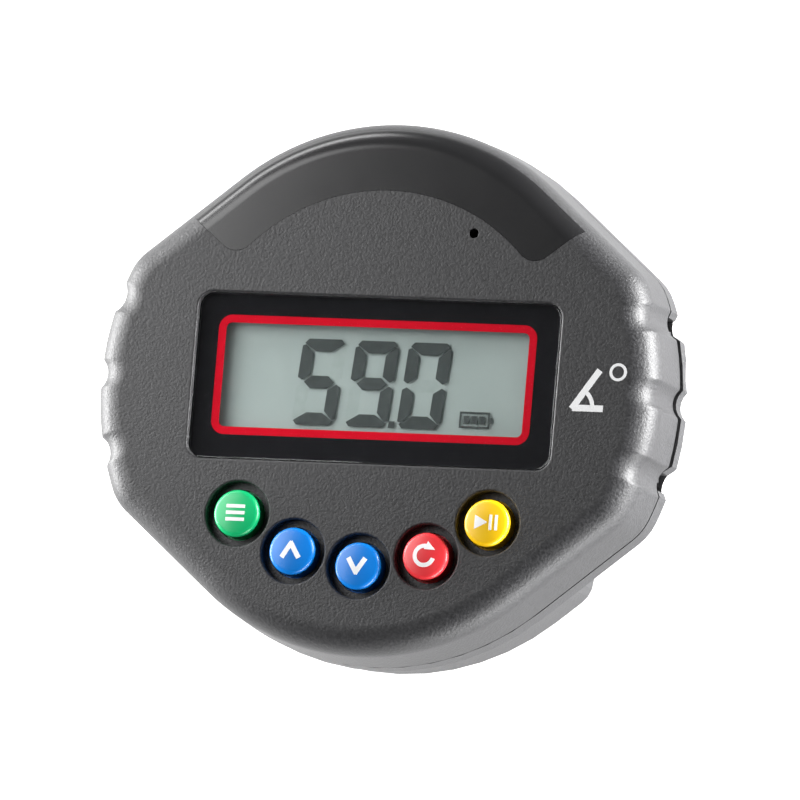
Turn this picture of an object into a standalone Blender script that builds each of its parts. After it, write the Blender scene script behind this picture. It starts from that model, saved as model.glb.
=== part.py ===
"""Electronic angle gauge for a wrench: two moulded covers, display, five keys, coin cell drawer.

The gauge lies on its back. +Z leaves the display, +Y points to the top of the display, +X to its
right. The origin is the middle of the case outline on the back pad's face. Lengths are metres.
"""
import math

import bmesh
import bpy
from mathutils import Matrix, Vector

# Clearances
GAP = 0.0003                # between pieces that touch
SLIP = 0.00025              # around a piece dropped into its pocket

# Case outline, all arcs about the case's two middle planes
HALF_WIDTH = 0.0427         # radius of the grip arcs about the case centre
GRIP_END = 22.2             # degrees from +X where a grip arc ends
CORNER_R = 0.1874 * HALF_WIDTH   # between a grip arc and a shoulder line
SHOULDER_ANGLE = 50.0       # direction that a shoulder line faces
CROWN_R = 0.8674 * HALF_WIDTH   # arc at the top and at the bottom
SCOOP_WIDTH = 0.0984 * HALF_WIDTH   # grip scoops
SCOOP_DEPTH = 0.0010
SCOOP_PITCH = 0.2670 * HALF_WIDTH
SCOOP_Y = 0.0008            # middle scoop

# Case depths, back to front
PAD_PROUD = 0.0005          # back pad over the pod
POD_DEPTH = 0.0065
TAPER_DEPTH = 0.0022
BAND_DEPTH = 0.0035
COVER_DEPTH = 0.0113
TAPER_INSET = 0.0026
RIM_R = 0.0042              # soft rim of the front cover
FRONT_DRAFT = 0.0005
SIDE_WALL = 0.0020
FACE_WALL = 0.0024
FLOOR_WALL = 0.0016
POD_FLOOR = 0.0026
LIP_HEIGHT = 0.0015         # locating lip of the rear cover
LIP_WALL = 0.0009

# Pod at the back
POD_FLANK = 0.1265 * HALF_WIDTH   # past the end of the bottom arc
POD_TOP = 0.5152 * HALF_WIDTH
POD_CORNER_R = 0.0050
POD_DRAFT = 0.0009
POD_WALL = 0.0020
PAD_WIDTH = 0.9836 * HALF_WIDTH
PAD_LENGTH = 1.0773 * HALF_WIDTH
PAD_THICK = 0.0012
PAD_CORNER_R = 0.0060
PAD_Y = -0.1991 * HALF_WIDTH

# Display
DISPLAY_Y = 0.0009
WINDOW_WIDTH = 1.2881 * HALF_WIDTH   # pocket in the front cover
WINDOW_HEIGHT = 0.5714 * HALF_WIDTH
WINDOW_CORNER_R = 0.0023
WINDOW_THICK = 0.0012
WINDOW_SUNK = 0.00025
WINDOW_LEDGE = 0.0026
LCD_WIDTH = WINDOW_WIDTH - 0.0036
LCD_HEIGHT = WINDOW_HEIGHT - 0.0032
LCD_THICK = 0.0022
LCD_BELOW_WALL = 0.0006
FRAME_WALL = 0.0020
FRAME_SHELF = 0.0008
STRIP_WIDTH = 0.0018

# Keys, left to right along an arc
KEYS = ("menu", "up", "down", "clear", "start")
KEY_ARC_R = 0.6838 * HALF_WIDTH
KEY_ARC_Y = 0.0030
KEY_PITCH = 20.2
WELL_R = 0.1101 * HALF_WIDTH
WELL_DEPTH = 0.0016
CAP_R = WELL_R - 0.00128
CAP_PROUD = 0.0002          # cap's cylinder over the face
CAP_DOME = 0.0009
FLANGE_R = WELL_R - 0.00033
FLANGE_THICK = 0.0011
STEM_R = 0.0018
STEM_LENGTH = 0.0012
MAT_HALF_WIDTH = WELL_R + 0.00027
MAT_THICK = 0.0008
MAT_HALF_ANGLE = 50.0
MAT_HOLE_R = WELL_R - 0.00073
DOME_TOP_R = 0.0020
DOME_WALL = 0.00035

# Alarm lens at the top and the buzzer hole
LENS_BAND = 0.2473 * HALF_WIDTH   # from the top of the case to the lens's inner arc
LENS_HALF_ANGLE = 51.0
LENS_CORNER_R = 0.0703 * HALF_WIDTH
LENS_THICK = 0.0013
LENS_LEDGE = 0.0375 * HALF_WIDTH
BUZZER_ANGLE = 60.0
BUZZER_BELOW_LENS = 0.00227
BUZZER_HOLE_R = 0.0007
BUZZER_R = 0.0045
BUZZER_HEIGHT = 0.0036
LED_SIZE = (0.0035, 0.0028, 0.0019)
LED_PAST_LENS_EDGE = 0.0038
LED_STEP = 25.0

# Board
BOARD_BELOW_WALL = 0.4159 * COVER_DEPTH   # length of the front cover's board bosses
BOARD_THICK = 0.0016
BOARD_INSET = 0.0046
BOARD_SCREWS_AT = ((-0.7995 * HALF_WIDTH, 0.0020), (-0.2960 * HALF_WIDTH, -0.3413 * HALF_WIDTH),
                   (0.2960 * HALF_WIDTH, -0.3413 * HALF_WIDTH), (-0.1432 * HALF_WIDTH, 0.4535 * HALF_WIDTH))
BOARD_BOSS_R = 0.0022
CHIP_SIZE = (0.0090, 0.0090, 0.0014)
CHIP_AT = (-0.2864 * HALF_WIDTH, 0.0060)
GYRO_SIZE = (0.0050, 0.0050, 0.0012)
GYRO_AT = (0.0, -0.0150)
CRYSTAL_SIZE = (0.0070, 0.0032, 0.0013)
CRYSTAL_AT = (-0.5728 * HALF_WIDTH, 0.0060)

# Screws
CASE_SCREW_OFFSET = 0.0019  # from the centre of a corner arc
CASE_SCREW_TURN = 66.0      # direction of that offset, away from the drawer
CASE_BOSS_R = CORNER_R - SIDE_WALL - LIP_WALL - 2 * GAP - CASE_SCREW_OFFSET
CASE_SCREW_R = 0.0010
CASE_SCREW_LENGTH = 0.0100
CASE_HEAD_R = 0.0018
CASE_HEAD_HEIGHT = 0.0014
SMALL_SCREW_R = 0.0009
SMALL_HEAD_R = 0.0018
SMALL_HEAD_HEIGHT = 0.0012
BOARD_SCREW_LENGTH = 0.0050
KEEPER_SCREW_LENGTH = 0.0045

# Coin cell drawer on the right side
CELL_R = 0.2342 * HALF_WIDTH
CELL_THICK = 0.0025
CELL_RIM = 0.0002
CELL_X = 0.6581 * HALF_WIDTH
DRAWER_INNER_X = 0.4754 * HALF_WIDTH
DRAWER_HALF_WIDTH = 0.2576 * HALF_WIDTH
DRAWER_FACE_HALF = 0.2319 * HALF_WIDTH
DRAWER_FACE_BACK = 0.9134 * HALF_WIDTH
DRAWER_FACE_PROUD = 0.0003
DRAWER_FACE_CHAMFER = 0.0010
DRAWER_FLOOR = 0.0006
DRAWER_BELOW_PART = 0.00055
DRAWER_WINDOW_R = 0.1405 * HALF_WIDTH
SLOT_HALF_WIDTH = 0.2951 * HALF_WIDTH
SLOT_DEPTH = 0.0065
RAIL_WALL = 0.0009
RAIL_INNER_X = 0.3817 * HALF_WIDTH
LEDGE_WIDTH = 0.0020
LEDGE_THICK = 0.0012
DIMPLE_Y = 0.1452 * HALF_WIDTH
DIMPLE_R = 0.0030
DIMPLE_DEPTH = 0.0005
CONTACT_THICK = 0.0003
CONTACT_WIDTH = 0.0040
CONTACT_OFFSET = 0.0060

# Magnets in the pod
MAGNET_R = 0.1873 * HALF_WIDTH
MAGNET_THICK = 0.0050
MAGNET_STEP = 0.3513 * HALF_WIDTH   # from the keeper's middle
MAGNET_CUP_WALL = 0.0012
KEEPER_Y = -0.1756 * HALF_WIDTH
KEEPER_WIDTH = 0.4216 * HALF_WIDTH
KEEPER_LENGTH = 1.1241 * HALF_WIDTH
KEEPER_THICK = 0.0010
KEEPER_SCREW_STEP = 0.0609 * HALF_WIDTH
KEEPER_BOSS_R = SMALL_SCREW_R + GAP + 0.0008

# Heights worked out from the depths
POD_Z = PAD_PROUD
SHELF_Z = POD_Z + POD_DEPTH
BAND_Z = SHELF_Z + TAPER_DEPTH
PART_Z = BAND_Z + BAND_DEPTH
FACE_Z = PART_Z + COVER_DEPTH
WALL_Z = FACE_Z - FACE_WALL            # underside of the face wall
FLOOR_Z = SHELF_Z + FLOOR_WALL         # rear cover floor beside the pod
POD_FLOOR_Z = POD_Z + POD_FLOOR        # rear cover floor in the pod
REAR_TOP_Z = PART_Z - GAP
BOSS_END_Z = WALL_Z - BOARD_BELOW_WALL
BOARD_TOP_Z = BOSS_END_Z - GAP
BOARD_Z = BOARD_TOP_Z - BOARD_THICK
ON_BOARD_Z = BOARD_TOP_Z + GAP
UNDER_BOARD_Z = BOARD_Z - GAP
LCD_TOP_Z = WALL_Z - LCD_BELOW_WALL
FLANGE_TOP_Z = WALL_Z - GAP
FLANGE_Z = FLANGE_TOP_Z - FLANGE_THICK
STEM_Z = FLANGE_Z - STEM_LENGTH
DRAWER_Z = FLOOR_Z + GAP
DRAWER_TOP_Z = PART_Z - DRAWER_BELOW_PART
CELL_Z = DRAWER_Z + DRAWER_FLOOR + GAP
CELL_TOP_Z = CELL_Z + CELL_THICK
MAGNET_Z = POD_FLOOR_Z + GAP
CUP_TOP_Z = MAGNET_Z + MAGNET_THICK
KEEPER_Z = CUP_TOP_Z + GAP
OVERSHOOT = 0.0010          # how far a cutter passes the wall it cuts


# Outlines, as lists of (x, y) points that run counter-clockwise

def polar(radius, degrees, centre=(0.0, 0.0)):
    """Point at a radius and an angle about a centre."""
    turn = math.radians(degrees)
    return (centre[0] + radius * math.cos(turn), centre[1] + radius * math.sin(turn))


def steps(first, last, count):
    """Evenly spaced values, both ends included."""
    return [first + (last - first) * i / count for i in range(count + 1)]


def arc(centre, radius, first, last, count):
    """Points on an arc between two angles."""
    return [polar(radius, turn, centre) for turn in steps(first, last, count)]


def circle(radius, centre=(0.0, 0.0), count=16):
    """Points on a full circle."""
    return arc(centre, radius, 0.0, 360.0, count)[:-1]


def rounded_rectangle(width, height, radius, centre=(0.0, 0.0), count=3):
    """Rectangle with round corners."""
    points = []
    for turn, side_x, side_y in ((0, 1, 1), (90, -1, 1), (180, -1, -1), (270, 1, -1)):
        middle = (centre[0] + side_x * (width / 2 - radius), centre[1] + side_y * (height / 2 - radius))
        points += arc(middle, radius, turn, turn + 90, count)
    return points


def corner_centre():
    """Centre of the corner arc between the grip arc and the upper right shoulder."""
    return polar(HALF_WIDTH - CORNER_R, GRIP_END)


def shoulder_distance():
    """Distance of the shoulder lines from the case centre."""
    return CORNER_R + (HALF_WIDTH - CORNER_R) * math.cos(math.radians(SHOULDER_ANGLE - GRIP_END))


def crown_centre():
    """Centre of the top arc, which touches both upper shoulder lines."""
    return (0.0, (shoulder_distance() - CROWN_R) / math.sin(math.radians(SHOULDER_ANGLE)))


def lens_inner_radius():
    """Radius of the lens's inner arc about the case centre."""
    return crown_centre()[1] + CROWN_R - LENS_BAND


def pod_half_width():
    """Half width of the pod at its root."""
    return CROWN_R * math.cos(math.radians(SHOULDER_ANGLE)) + POD_FLANK


def scoop_depth(height):
    """Depth of the grip scoops at a height along the side: three arcs sunk into the grip."""
    radius = (SCOOP_WIDTH ** 2 / 4 + SCOOP_DEPTH ** 2) / (2 * SCOOP_DEPTH)
    for row in (-1, 0, 1):
        offset = height - SCOOP_Y - row * SCOOP_PITCH
        if abs(offset) < SCOOP_WIDTH / 2:
            return math.sqrt(radius ** 2 - offset ** 2) - (radius - SCOOP_DEPTH)
    return 0.0


def grip_angles(with_scoops):
    """Angles of the points on the right grip arc, closer together across each scoop."""
    if not with_scoops:
        return steps(-GRIP_END, GRIP_END, 6)
    angles = [-GRIP_END]
    for row in (-1, 0, 1):
        middle = SCOOP_Y + row * SCOOP_PITCH
        low, high = (math.degrees(math.asin((middle + side * SCOOP_WIDTH / 2) / HALF_WIDTH))
                     for side in (-1, 1))
        angles += [(angles[-1] + low) / 2] + steps(low, high, 6)
    return angles + [(angles[-1] + GRIP_END) / 2, GRIP_END]


def case_outline(inset=0.0, scoops=0.0):
    """Case outline moved inward by an inset, with the grip scoops cut to a share of their depth."""
    corner, crown = corner_centre(), crown_centre()
    right = arc((0.0, -crown[1]), CROWN_R - inset, -90, -SHOULDER_ANGLE, 6)
    right += arc((corner[0], -corner[1]), CORNER_R - inset, -SHOULDER_ANGLE, -GRIP_END, 3)[:-1]
    for turn in grip_angles(scoops > 0):
        height = HALF_WIDTH * math.sin(math.radians(turn))
        right.append(polar(HALF_WIDTH - inset - scoops * scoop_depth(height), turn))
    right += arc(corner, CORNER_R - inset, GRIP_END, SHOULDER_ANGLE, 3)[1:]
    right += arc(crown, CROWN_R - inset, SHOULDER_ANGLE, 90, 6)
    left = [(-x, y) for x, y in reversed(right[1:-1])]
    return right + left


def pod_outline(inset=0.0):
    """Pod outline: the case's bottom arc and lower shoulders, closed by a straight top."""
    crown = crown_centre()
    corner_x = pod_half_width() - POD_CORNER_R
    slope = math.radians(SHOULDER_ANGLE)
    low_y = (corner_x * math.cos(slope) + POD_CORNER_R - shoulder_distance()) / math.sin(slope)
    right = arc((0.0, -crown[1]), CROWN_R - inset, -90, -SHOULDER_ANGLE, 6)
    right += arc((corner_x, low_y), POD_CORNER_R - inset, -SHOULDER_ANGLE, 0, 3)
    right += arc((corner_x, POD_TOP - POD_CORNER_R), POD_CORNER_R - inset, 0, 90, 4)
    left = [(-x, y) for x, y in reversed(right[1:])]
    return right + left


def lens_outline(grow, outer):
    """Sector between an inner circle and an outer one, with its two inner corners round."""
    inner = lens_inner_radius() - grow
    start = 90.0 - LENS_HALF_ANGLE - math.degrees(grow / inner)
    lean = math.degrees(math.asin(LENS_CORNER_R / (inner + LENS_CORNER_R)))
    middle = polar(inner + LENS_CORNER_R, start + lean)
    corner = arc(middle, LENS_CORNER_R, start + lean - 180, start - 90, 4)
    points = arc((0.0, 0.0), outer, start, 180 - start, 18)
    points += [(-x, y) for x, y in reversed(corner)]
    points += arc((0.0, 0.0), inner, 180 - start - lean, start + lean, 14)[1:-1]
    return points + corner


def mat_outline():
    """Keypad mat: a band along the arc of the keys."""
    first, last = -90 - MAT_HALF_ANGLE, -90 + MAT_HALF_ANGLE
    centre = (0.0, KEY_ARC_Y)
    outer = arc(centre, KEY_ARC_R + MAT_HALF_WIDTH, first, last, 14)
    return outer + arc(centre, KEY_ARC_R - MAT_HALF_WIDTH, last, first, 14)


def key_centre(index):
    """Place of a key on its arc."""
    return polar(KEY_ARC_R, -90 + KEY_PITCH * (index - 2), (0.0, KEY_ARC_Y))


def case_screw_places():
    """Places of the four case screws, one inside each corner arc."""
    x, y = polar(CASE_SCREW_OFFSET, CASE_SCREW_TURN, corner_centre())
    return [(side_x * x, side_y * y) for side_x in (-1, 1) for side_y in (-1, 1)]


def buzzer_place():
    """Place of the buzzer, just inside the lens's inner arc."""
    return polar(lens_inner_radius() - BUZZER_BELOW_LENS, BUZZER_ANGLE)


# Solids, from rings of (x, y, z) points; a stack of rings is one closed solid

def level(outline, height):
    """Ring that lies flat at a height."""
    return [(x, y, height) for x, y in outline]


def prism(outline, low, high):
    """Stack of a straight prism."""
    return [level(outline, low), level(outline, high)]


def turned(profile, centre, count=16):
    """Stack of a turned shape from (radius, height) pairs."""
    return [level(circle(radius, centre, count), height) for radius, height in profile]


def box(low, high):
    """Stack of a box between two corners."""
    outline = [(low[0], low[1]), (high[0], low[1]), (high[0], high[1]), (low[0], high[1])]
    return prism(outline, low[2], high[2])


def block(size, centre, base):
    """Stack of a box of a size, standing at a height over a place."""
    low = (centre[0] - size[0] / 2, centre[1] - size[1] / 2, base)
    return box(low, (low[0] + size[0], low[1] + size[1], base + size[2]))


def bar_along_x(profile, low, high):
    """Stack of a bar along X with a profile of (y, z) points."""
    return [[(x, y, z) for y, z in profile] for x in (low, high)]


def bar_along_y(profile, low, high):
    """Stack of a bar along Y with a profile of (x, z) points."""
    return [[(x, y, z) for x, z in profile] for y in (low, high)]


def screw(centre, seat, direction, head_r, head_height, shank_r, length):
    """Pan head screw whose shank leaves the seat upwards (1) or downwards (-1)."""
    profile = [(head_r * 0.8, -head_height), (head_r, -head_height * 0.6), (head_r, 0.0),
               (shank_r, 0.0), (shank_r, length)]
    return turned([(radius, seat + direction * offset) for radius, offset in profile], centre, 12)


def solid(name, stacks, surface=None):
    """Object made of one closed solid for each stack."""
    sketch = bmesh.new()
    for rings in stacks:
        rows = [[sketch.verts.new(point) for point in ring] for ring in rings]
        sketch.faces.new(rows[0])
        sketch.faces.new(rows[-1])
        for low, high in zip(rows, rows[1:]):
            for i in range(len(low)):
                j = (i + 1) % len(low)
                sketch.faces.new((low[i], low[j], high[j], high[i]))
    bmesh.ops.recalc_face_normals(sketch, faces=sketch.faces)
    mesh = bpy.data.meshes.new(name)
    sketch.to_mesh(mesh)
    sketch.free()
    mesh.shade_smooth()
    mesh.set_sharp_from_angle(angle=math.radians(35))
    if surface:
        mesh.materials.append(surface)
    made = bpy.data.objects.new(name, mesh)
    bpy.context.scene.collection.objects.link(made)
    return made


def combine(target, operation, name, stacks):
    """Boolean with a solid that stays behind as a hidden guide."""
    tool = solid(name, stacks)
    tool.hide_render = True
    tool.display_type = "WIRE"
    modifier = target.modifiers.new(name, "BOOLEAN")
    modifier.operation = operation
    modifier.object = tool


def move_origin(target, place):
    """Put an object's origin at a place without moving its mesh."""
    target.data.transform(Matrix.Translation(-Vector(place)))
    target.location = place


def material(name, colour, roughness, metallic=0.0):
    """Principled material."""
    made = bpy.data.materials.new(name)
    made.use_nodes = True
    shader = made.node_tree.nodes["Principled BSDF"]
    shader.inputs["Base Color"].default_value = (*colour, 1.0)
    shader.inputs["Roughness"].default_value = roughness
    shader.inputs["Metallic"].default_value = metallic
    return made


# Front cover, lens and window

def front_shape(inset, rim, scoops, low, top):
    """Stack of the front cover's outside, or of its hollow when inset."""
    draft = FRONT_DRAFT * (COVER_DEPTH - RIM_R) / COVER_DEPTH
    rings = [level(case_outline(inset, scoops), low)]
    for turn in steps(0, 90, 4):
        swing = math.radians(turn)
        outline = case_outline(inset + draft + rim * (1 - math.cos(swing)), scoops * (1 - turn / 225))
        rings.append(level(outline, top - rim + rim * math.sin(swing)))
    return rings


def window_outline(inset):
    """Window pocket outline, moved inward by an inset."""
    corner = max(WINDOW_CORNER_R - inset, WINDOW_CORNER_R / 4)
    return rounded_rectangle(WINDOW_WIDTH - 2 * inset, WINDOW_HEIGHT - 2 * inset, corner, (0.0, DISPLAY_Y))


def stepped(narrow, wide, low, step, high):
    """Stack that is narrow below a step and wide above it."""
    return [level(narrow, low), level(narrow, step), level(wide, step), level(wide, high)]


def key_well(index):
    """Stack of a key's stepped well through the face wall."""
    centre = key_centre(index)
    return stepped(circle(CAP_R + GAP, centre, 20), circle(WELL_R, centre, 20),
                   WALL_Z - OVERSHOOT, FACE_Z - WELL_DEPTH, FACE_Z + OVERSHOOT)


def front_cover(surface):
    """Front cover: a hollow shell with bosses, key wells and seats for the window and the lens."""
    body = solid("front_cover", [front_shape(0.0, RIM_R, 1.0, PART_Z, FACE_Z)], surface)
    combine(body, "DIFFERENCE", "cover_hollow",
            [front_shape(SIDE_WALL, RIM_R - SIDE_WALL, 0.0, PART_Z - OVERSHOOT, WALL_Z)])
    case_places = case_screw_places()
    bosses = [prism(circle(CASE_BOSS_R, place), PART_Z, WALL_Z + OVERSHOOT) for place in case_places]
    bosses += [prism(circle(BOARD_BOSS_R, place, 12), BOSS_END_Z, WALL_Z + OVERSHOOT)
               for place in BOARD_SCREWS_AT]
    combine(body, "UNION", "cover_bosses", bosses)
    pilots = [prism(circle(CASE_SCREW_R + GAP, place, 12), PART_Z - OVERSHOOT, WALL_Z - GAP)
              for place in case_places]
    pilots += [prism(circle(SMALL_SCREW_R + GAP, place, 12), BOSS_END_Z - OVERSHOOT, WALL_Z - GAP)
               for place in BOARD_SCREWS_AT]
    combine(body, "DIFFERENCE", "cover_pilot_holes", pilots)
    combine(body, "DIFFERENCE", "cover_key_wells", [key_well(index) for index in range(len(KEYS))])
    ledge = FACE_Z - WINDOW_SUNK - WINDOW_THICK - GAP
    combine(body, "DIFFERENCE", "cover_window_seat",
            [stepped(window_outline(WINDOW_LEDGE), window_outline(0.0),
                     WALL_Z - OVERSHOOT, ledge, FACE_Z + OVERSHOOT)])
    seat = FACE_Z - LENS_THICK - GAP
    combine(body, "DIFFERENCE", "cover_lens_seat",
            [prism(lens_outline(SLIP, HALF_WIDTH + OVERSHOOT), seat, FACE_Z + OVERSHOOT)])
    slot = lens_outline(-LENS_LEDGE, shoulder_distance() - RIM_R - GAP)
    combine(body, "DIFFERENCE", "cover_lens_slot", [prism(slot, WALL_Z - OVERSHOOT, seat + GAP)])
    combine(body, "DIFFERENCE", "cover_buzzer_hole",
            [prism(circle(BUZZER_HOLE_R, buzzer_place(), 12), WALL_Z - OVERSHOOT, FACE_Z + OVERSHOOT)])


def alarm_lens(surface):
    """Translucent lens that follows the case's face and rim at the top."""
    outline = lens_outline(0.0, HALF_WIDTH + OVERSHOOT)
    body = solid("alarm_lens", [prism(outline, FACE_Z - LENS_THICK, FACE_Z + OVERSHOOT)], surface)
    combine(body, "INTERSECT", "lens_limit", [front_shape(0.0, RIM_R, 1.0, PART_Z, FACE_Z)])


def display_window(surface):
    """Clear window, a little below the face."""
    top = FACE_Z - WINDOW_SUNK
    solid("display_window", [prism(window_outline(SLIP), top - WINDOW_THICK, top)], surface)


# Display

def lcd_outline(grow):
    """Rectangle around the display glass, grown on every side."""
    return rounded_rectangle(LCD_WIDTH + 2 * grow, LCD_HEIGHT + 2 * grow, max(grow, GAP),
                             (0.0, DISPLAY_Y), 2)


def lcd_panel(surface):
    """Display glass."""
    solid("lcd_panel", [prism(lcd_outline(0.0), LCD_TOP_Z - LCD_THICK, LCD_TOP_Z)], surface)


def lcd_frame(surface):
    """Carrier of the display glass, standing on the board."""
    body = solid("lcd_frame", [prism(lcd_outline(GAP + FRAME_WALL), ON_BOARD_Z, WALL_Z - GAP)], surface)
    combine(body, "DIFFERENCE", "lcd_frame_opening",
            [stepped(lcd_outline(-FRAME_SHELF), lcd_outline(GAP), ON_BOARD_Z - OVERSHOOT,
                     LCD_TOP_Z - LCD_THICK - GAP, WALL_Z + OVERSHOOT)])


def lcd_connectors(surface):
    """Contact strips between the board and the glass, along its two long edges."""
    size = (LCD_WIDTH - 2 * (FRAME_SHELF + GAP), STRIP_WIDTH, LCD_TOP_Z - LCD_THICK - GAP - ON_BOARD_Z)
    reach = LCD_HEIGHT / 2 - FRAME_SHELF - GAP - STRIP_WIDTH / 2
    for name, side in (("lcd_connector_upper", 1), ("lcd_connector_lower", -1)):
        solid(name, [block(size, (0.0, DISPLAY_Y + side * reach), ON_BOARD_Z)], surface)


# Keys

def key_caps(surfaces):
    """Domed caps, each with a flange that stays under the face wall and a stem."""
    side_top = FACE_Z + CAP_PROUD
    for index, name in enumerate(KEYS):
        profile = [(STEM_R, STEM_Z), (STEM_R, FLANGE_Z), (FLANGE_R, FLANGE_Z), (FLANGE_R, FLANGE_TOP_Z),
                   (CAP_R, FLANGE_TOP_Z)]
        for turn in steps(0, 75, 3):
            swing = math.radians(turn)
            profile.append((CAP_R * math.cos(swing), side_top + CAP_DOME * math.sin(swing)))
        cap = solid("button_" + name, [turned(profile, key_centre(index), 20)], surfaces[index])
        move_origin(cap, (*key_centre(index), FLANGE_TOP_Z))


def keypad(surface):
    """Silicone mat on the board, and the dome under each key."""
    mat = solid("keypad_mat", [prism(mat_outline(), ON_BOARD_Z, ON_BOARD_Z + MAT_THICK)], surface)
    holes = [prism(circle(MAT_HOLE_R, key_centre(index)), ON_BOARD_Z - OVERSHOOT, FACE_Z)
             for index in range(len(KEYS))]
    combine(mat, "DIFFERENCE", "mat_holes", holes)
    foot_r, top = MAT_HOLE_R - GAP, STEM_Z - GAP
    for index, name in enumerate(KEYS):
        outside = [(foot_r, ON_BOARD_Z), (foot_r, ON_BOARD_Z + DOME_WALL), (DOME_TOP_R, top - DOME_WALL),
                   (DOME_TOP_R, top)]
        inside = [(foot_r - DOME_WALL, ON_BOARD_Z - OVERSHOOT), (foot_r - DOME_WALL, ON_BOARD_Z),
                  (DOME_TOP_R - DOME_WALL, top - 2 * DOME_WALL)]
        dome = solid("key_dome_" + name, [turned(outside, key_centre(index))], surface)
        combine(dome, "DIFFERENCE", "dome_hollow_" + name, [turned(inside, key_centre(index))])


# Board and what it carries

def main_board(surface):
    """Circuit board, cut back around the case bosses."""
    board = solid("main_board", [prism(case_outline(BOARD_INSET), BOARD_Z, BOARD_TOP_Z)], surface)
    below, above = BOARD_Z - OVERSHOOT, BOARD_TOP_Z + OVERSHOOT
    cuts = [prism(circle(CASE_BOSS_R + GAP, place), below, above)
            for place in case_screw_places()]
    cuts += [prism(circle(SMALL_SCREW_R + GAP, place, 12), below, above) for place in BOARD_SCREWS_AT]
    combine(board, "DIFFERENCE", "board_cuts", cuts)


def board_parts(surfaces):
    """Chips under the board, and the buzzer and lamps on it."""
    for name, size, place in (("controller_chip", CHIP_SIZE, CHIP_AT), ("gyro_sensor", GYRO_SIZE, GYRO_AT),
                              ("clock_crystal", CRYSTAL_SIZE, CRYSTAL_AT)):
        solid(name, [block(size, place, UNDER_BOARD_Z - size[2])], surfaces[name])
    top = ON_BOARD_Z + BUZZER_HEIGHT
    buzzer = solid("buzzer", [turned([(BUZZER_R, ON_BOARD_Z), (BUZZER_R, top)], buzzer_place(), 20)],
                   surfaces["buzzer"])
    combine(buzzer, "DIFFERENCE", "buzzer_port",
            [prism(circle(BUZZER_HOLE_R, buzzer_place(), 12), top - BUZZER_HEIGHT / 3, top + OVERSHOOT)])
    led_radius = lens_inner_radius() + LED_PAST_LENS_EDGE
    for step, name in ((1, "alarm_led_left"), (0, "alarm_led_middle"), (-1, "alarm_led_right")):
        solid(name, [block(LED_SIZE, polar(led_radius, 90 + step * LED_STEP), ON_BOARD_Z)], surfaces["led"])


# Rear cover and what it holds

def rear_shape():
    """Stack of the rear cover beside the pod: a tapered edge under a straight band."""
    return [level(case_outline(TAPER_INSET, 0.3), SHELF_Z), level(case_outline(0.0, 1.0), BAND_Z),
            level(case_outline(0.0, 1.0), REAR_TOP_Z)]


def pod_shape():
    """Stack of the pod, drafted to its back, with a small edge break."""
    root = POD_DRAFT / 10
    return [level(pod_outline(POD_DRAFT + PAD_PROUD), POD_Z),
            level(pod_outline(POD_DRAFT), POD_Z + PAD_PROUD),
            level(pod_outline(root), BAND_Z - root),
            level(pod_outline(POD_DRAFT), BAND_Z + TAPER_DEPTH / 2)]


def magnet_places():
    """Places of the two magnets."""
    return [(0.0, KEEPER_Y + side * MAGNET_STEP) for side in (-1, 1)]


def keeper_screw_places():
    """Places of the two screws between the magnets."""
    return [(0.0, KEEPER_Y + side * KEEPER_SCREW_STEP) for side in (-1, 1)]


def rail_profile(side, low, ledge):
    """Profile of a drawer rail, with a ledge under the drawer's edge if wanted."""
    inner, outer = DRAWER_HALF_WIDTH + GAP, DRAWER_HALF_WIDTH + GAP + RAIL_WALL
    points = [(outer, low), (outer, DRAWER_TOP_Z), (inner, DRAWER_TOP_Z)]
    if ledge:
        shelf = inner - LEDGE_WIDTH
        points += [(inner, FLOOR_Z), (shelf, FLOOR_Z), (shelf, FLOOR_Z - LEDGE_THICK),
                   (inner, FLOOR_Z - LEDGE_THICK)]
    points.append((inner, low))
    return [(SCOOP_Y + side * y, z) for y, z in points]


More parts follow.
